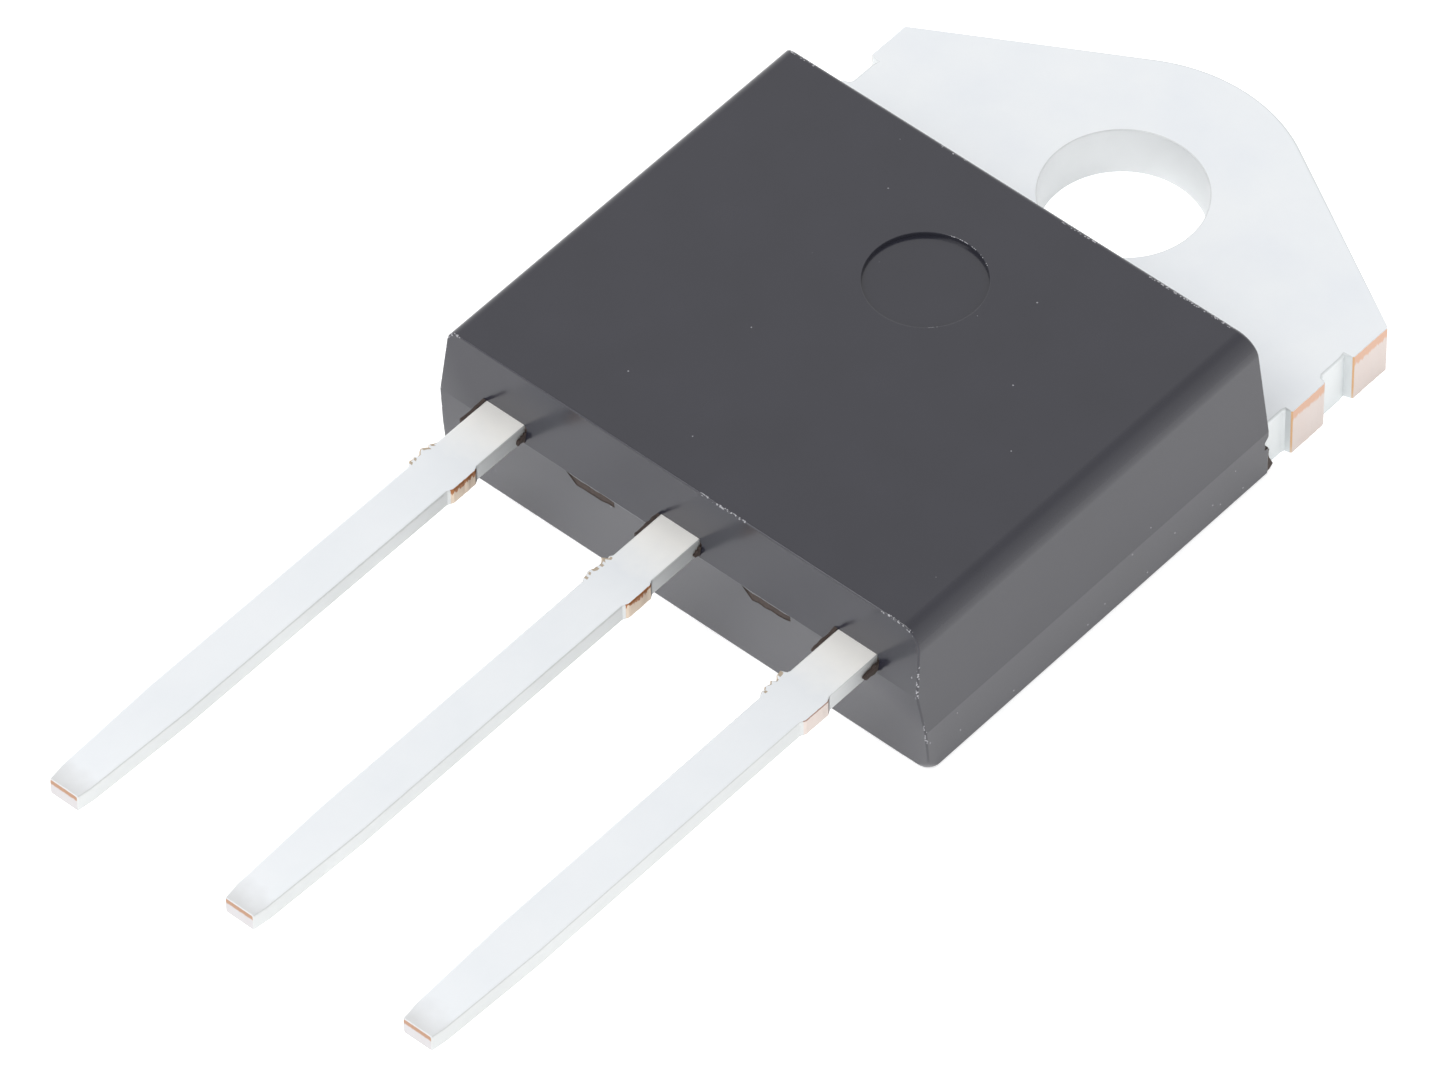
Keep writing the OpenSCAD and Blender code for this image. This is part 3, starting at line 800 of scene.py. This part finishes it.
# cross-sections from the tip to the inner end: y, left, right, lift, drop of the top
def leadStations(side, rng):
    s = leadShape
    half, tip = s["width"] / 2, s["tipWidth"] / 2
    far, near = barSpan()
    rows = []

    def row(y, left, right, lift=0.0, drop=0.0):
        rows.append((y, -left, right, lift, drop))

    for along, wider, drop in s["tipRows"]:
        row(leadLow.y + along, tip + wider, tip + wider, 0, drop)
    row(leadLow.y + s["tipTaper"], half, half)
    for along in reversed(s["shoulders"]):
        row(far - along, half, half)
    steps = s["barSteps"]
    for i in range(steps + 1):
        # the burr grows more ragged towards the case
        burr = s["burrProud"] + s["burrWobble"] * (0.5 + i / steps) * (rng.random() - 0.5)
        bare = s["barProud"] + s["barWobble"] * rng.random()
        fade = min(1, i / s["barFade"], (steps - i) / s["barFade"])
        row(far + (near - far) * i / steps, half + fade * burr, half + fade * bare)
    for along in s["shoulders"]:
        row(near + along, half, half)
    row(caseLow.y - s["wallGap"], half, half)
    if side == 0:
        # the middle lead steps down to the pad under the die
        down = s["stepRun"]
        row(s["headBack"], half, half)
        row(s["headBack"] + down, half, half, -down)
        row(s["padFront"], half, half, -down)
        row(s["padFront"] + s["squareStep"], s["padHalf"], s["padHalf"], -down)
        row(s["padBack"], s["padHalf"], s["padHalf"], -down)
    else:
        # the heads of the outer leads reach towards the middle
        wide = s["headWidth"] - half
        left, right = (wide, half) if side > 0 else (half, wide)
        row(s["headFront"], half, half)
        row(s["headFront"] + s["squareStep"], left, right)
        row(s["headBack"], left, right)
    return rows


def buildLead(name, node, side, materials, seed):
    s = leadShape
    bm = bmesh.new()
    x, bottom = side * s["pitch"], leadLow.z
    rings = []
    for y, left, right, lift, drop in leadStations(side, random.Random(seed)):
        low, high = bottom + lift, bottom + s["thickness"] + lift - drop
        rings.append(addRing(bm, leadSection(y, x + left, x + right, low, high)))
    far, near = barSpan()
    rng = random.Random(seed + s["flakeSeed"])
    upwards, sideways, squarely = 0.5, 0.3, 0.6  # how far a face leans that counts as facing that way

    def pick(face):
        centre = face.calc_center_median()
        face.normal_update()
        outward = -face.normal  # the faces stay inside out until looseObject turns them
        if far + s["barInset"] < centre.y < near - s["barInset"]:
            strip = outward.z > upwards and centre.x < x - s["width"] / 2 + s["burrStrip"]
            if strip and rng.random() < s["bareShare"]:
                return leadSlots["burr"]
            if outward.x > squarely:
                return leadSlots["bar"]
            if outward.x < -sideways:
                return leadSlots["burr"]
        return leadSlots["side" if abs(outward.x) > sideways else "top"]

    joinRings(bm, rings, pick)
    bm.faces.new(rings[0]).material_index = leadSlots["tip"]
    bm.faces.new(rings[-1]).material_index = leadSlots["side"]
    finishPiece(name, bm, materials, replaces=node)


addCamera()
addWorld()
addLamp()
addFloor()
print("studio ready")

compound = mouldedEpoxy("epoxyCompoundMoulded", spotMm=0.42, spotRadius=0.055, spotShare=0.16,
                        spotColour="#84848a")
# pale flecks on the rounded edges and the mark's rim, painted as glints
edgeGlints = mouldedEpoxy("epoxyCompoundEdgeGlints", spotMm=0.06, spotRadius=0.42, spotShare=0.8,
                    spotColour="#97979c", clusterMm=1.7)
broken = brokenEpoxy()
tin = tinPlating("tinPlateMatt", bright="#f5f7f8", shade="#ebeef2", roughness=0.68)
# the leads' tin is a shade darker than the plate's as painted shade; painted light beside the moulding,
# against the case's shade on the root, and painted shade at the tip
paintedLightAtRoot = (caseLow.y - 1.5, caseLow.y - 0.1, "#fffefb")
paintedShadeAtTip = (leadLow.y + 1.15, leadLow.y + 0.3, "#dddedf")
leadTin = tinPlating("tinPlateMattLead", bright="#f1f3f5", shade="#e8ebee", roughness=0.68,
                     fades=(paintedLightAtRoot, paintedShadeAtTip))
# a little greyer on what the punch cut before plating: the leads' sides, the hole and the plate's rim
leadEdge = tinPlating("tinPlatePunchedEdge", bright="#d8dada", shade="#d0d2d2", roughness=0.6)
holeWall = tinPlating("tinPlateHoleWall", bright="#e1e3e4", shade="#d9dbdc", roughness=0.6)
plateEdge = tinPlating("tinPlatePunchedPlateEdge", bright="#e0e3e4", shade="#d8dcdd", roughness=0.6)
plateCopper = shearedCopper("copperShearedPlate", topEdge=tabHigh.z, bandDepth=0.32,
                            copper="#cda68e", smear="#cfc6c2", ragged=0.9)
# nearly all bare, as the band starts above the plate and reaches its underside
cornerCopper = shearedCopper("copperShearedCorner", topEdge=tabHigh.z + 0.3, bandDepth=1.6,
                             copper="#c9a078", smear="#cfc2b2", ragged=0.3)
barCopper = shearedCopper("copperShearedBar", topEdge=leadHigh.z, bandDepth=0.12,
                          copper="#a0673c", smear="#d4c5b4", ragged=3.4)
# the right lead's bar is a paler copper
palerBar = shearedCopper("copperShearedBarPaler", topEdge=leadHigh.z, bandDepth=0.03,
                         copper="#a4867a", smear="#d6cbc5", ragged=0.6)
burrCopper = shearedCopper("copperShearedBurr", topEdge=leadHigh.z, bandDepth=0.15,
                           copper="#c4b4a0", smear="#ddd5c8", streakMm=0.08, ragged=3.2)
tipTop = leadHigh.z - leadShape["tipRows"][1][2]  # where the end face meets the top
tipCopper = shearedCopper("copperShearedTip", topEdge=tipTop, bandDepth=0.16,
                          copper="#b1886b", smear="#c9c8cb", ragged=0.5)
print("materials ready")

buildCase(compound, edgeGlints, broken)
print("case ready")
buildTab(tin, plateEdge, plateCopper, cornerCopper, holeWall)
print("tab ready")
for name, node, side, seed in leadRow:
    bar = palerBar if side > 0 else barCopper
    buildLead(name, node, side, [leadTin, leadEdge, bar, tipCopper, burrCopper], seed)
print("leads ready")
dressInner()
print("inner pieces dressed")
